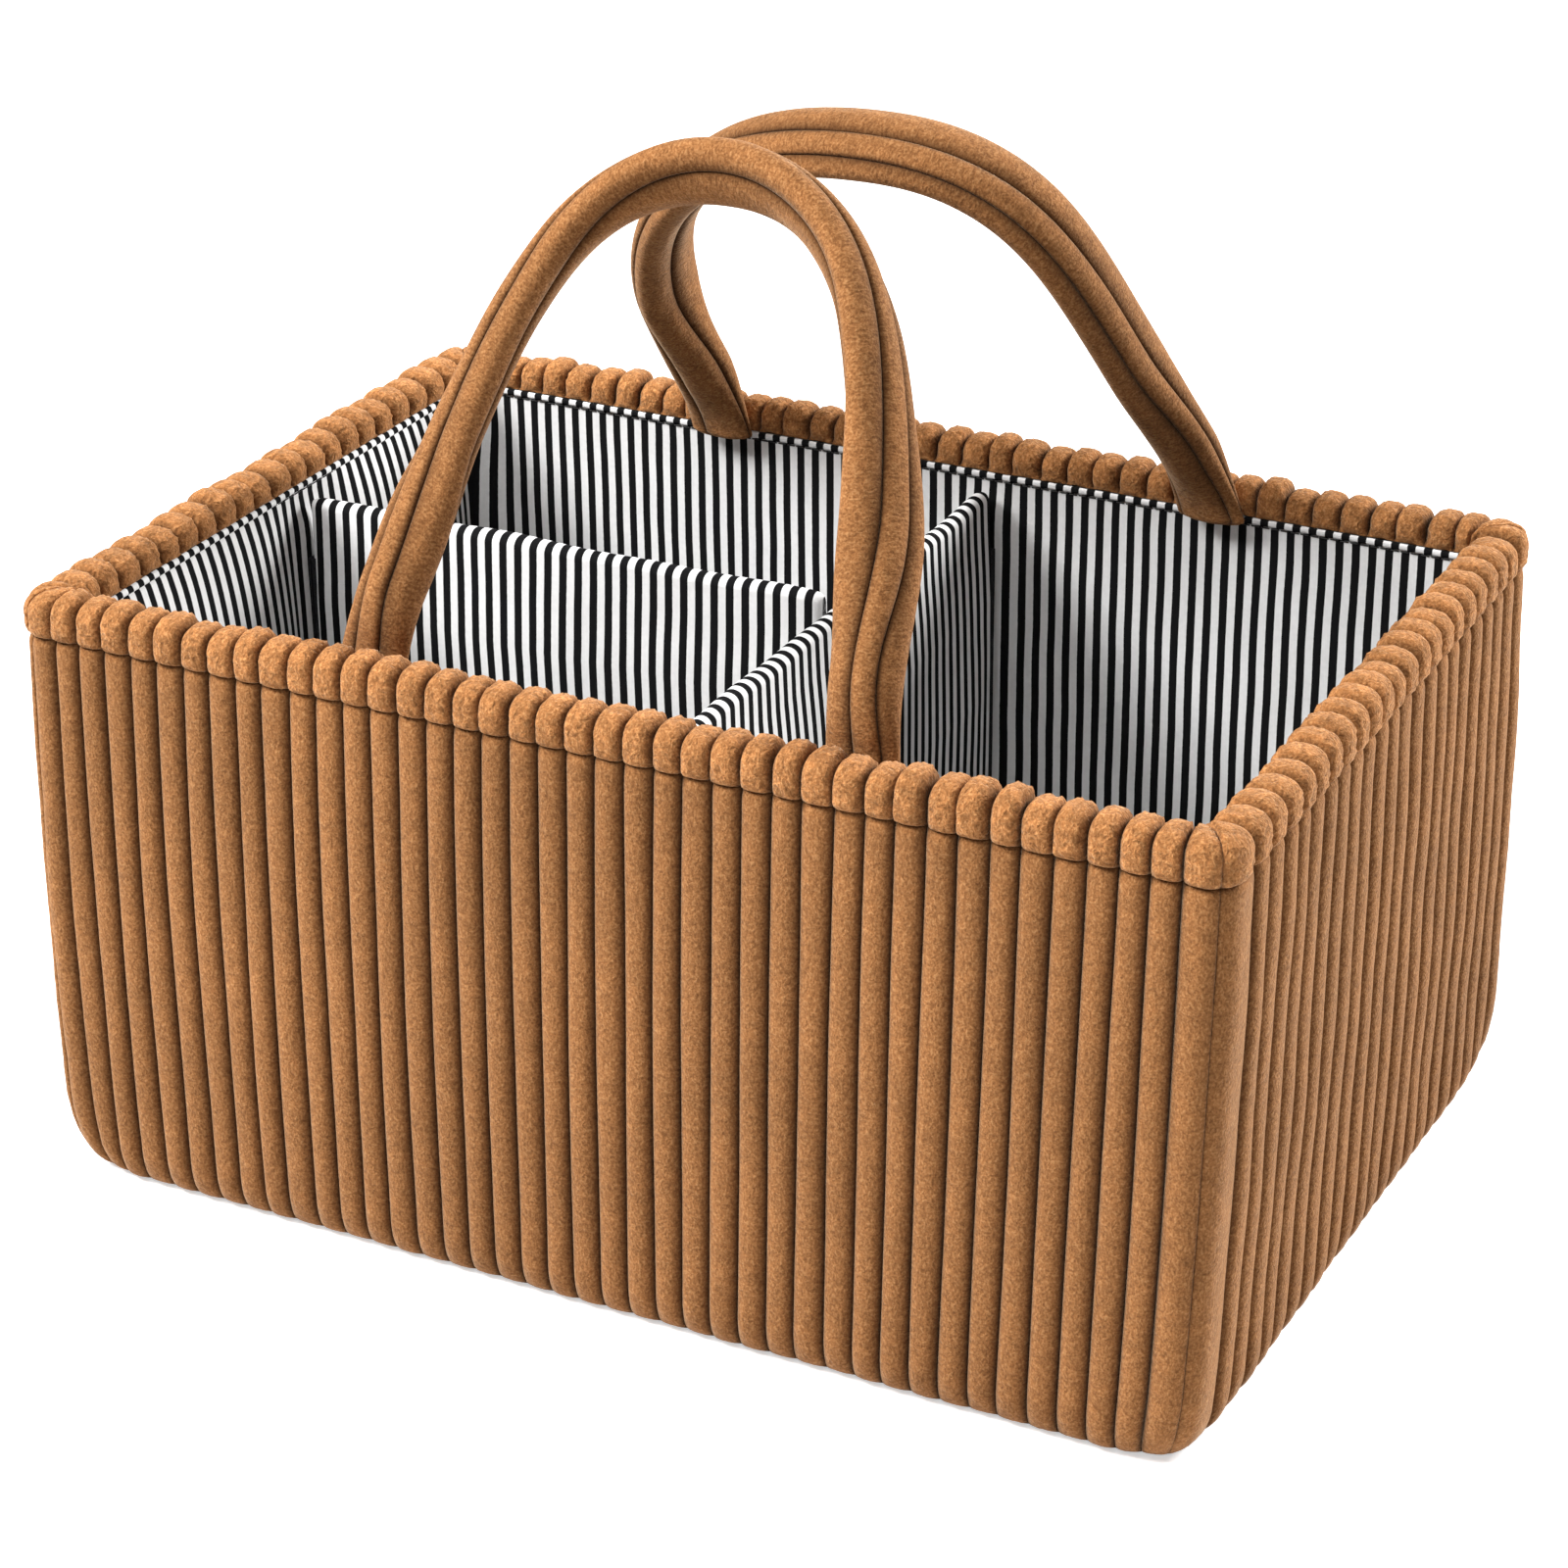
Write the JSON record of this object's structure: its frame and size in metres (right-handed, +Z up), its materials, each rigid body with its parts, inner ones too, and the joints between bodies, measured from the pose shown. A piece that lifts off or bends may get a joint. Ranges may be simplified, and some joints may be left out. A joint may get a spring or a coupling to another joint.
{
  "type": "diaper caddy",
  "caption": "Soft rectangular nursery caddy with padded wide-wale corduroy walls, striped lining, lift-out T dividers and stuffed carry handles.",
  "frame": {"origin": "middle of the flat base, on the surface that the caddy stands on", "axes": "+X along the long walls to the right as seen from the front, +Y to the back, +Z up"},
  "size_m": [0.38, 0.246, 0.3239],
  "materials": {
    "corduroy": "caramel wide-wale plush corduroy, wales upright",
    "handle_corduroy": "caramel wide-wale plush corduroy, wales lengthwise",
    "striped_lining": "woven cotton with narrow black and white upright stripes",
    "striped_divider": "padded woven cotton with narrow black and white stripes",
    "foam_board": "stiff closed-cell foam sheet",
    "stuffing": "loose polyester fibre",
    "hook_and_loop": "black hook-and-loop tape"
  },
  "bodies": {
    "caddy": {"outer_panel_front": "corduroy", "outer_panel_back": "corduroy", "outer_panel_left": "corduroy", "outer_panel_right": "corduroy", "outer_base": "corduroy", "wall_board_front": "foam_board", "wall_board_back": "foam_board", "wall_board_left": "foam_board", "wall_board_right": "foam_board", "base_board": "foam_board", "lining_front": "striped_lining", "lining_back": "striped_lining", "lining_left": "striped_lining", "lining_right": "striped_lining", "lining_floor": "striped_lining", "loop_tape_front": "hook_and_loop", "loop_tape_back": "hook_and_loop", "loop_tape_left": "hook_and_loop", "front_handle_left_root": "handle_corduroy", "front_handle_right_root": "handle_corduroy", "back_handle_left_root": "handle_corduroy", "back_handle_right_root": "handle_corduroy"},
    "front_handle": {"front_handle_cover": "handle_corduroy", "front_handle_core": "stuffing"},
    "back_handle": {"back_handle_cover": "handle_corduroy", "back_handle_core": "stuffing"},
    "cross_divider": {"cross_divider_cover": "striped_divider", "cross_divider_board": "foam_board", "cross_divider_hook_front": "hook_and_loop", "cross_divider_hook_back": "hook_and_loop", "loop_tape_cross": "hook_and_loop"},
    "side_divider": {"side_divider_cover": "striped_divider", "side_divider_board": "foam_board", "side_divider_hook_left": "hook_and_loop", "side_divider_hook_right": "hook_and_loop"}
  },
  "joints": [
    {"name": "front_handle_fold", "type": "hinge", "parent": "caddy", "child": "front_handle", "pos_m": [0.001, -0.0969, 0.204], "axis": [1, 0, 0], "range_deg": [-6, 120], "stiffness_Nm_per_rad": 0.3, "springref_deg": 2.86},
    {"name": "back_handle_fold", "type": "hinge", "parent": "caddy", "child": "back_handle", "pos_m": [0.003, 0.0969, 0.204], "axis": [-1, 0, 0], "range_deg": [-6, 120], "stiffness_Nm_per_rad": 0.3, "springref_deg": 2.86},
    {"name": "cross_divider_lift", "type": "slide", "parent": "caddy", "child": "cross_divider", "axis": [0, 0, 1], "range_m": [0, 0.11]},
    {"name": "side_divider_lift", "type": "slide", "parent": "caddy", "child": "side_divider", "axis": [0, 0, 1], "range_m": [0, 0.11]}
  ]
}
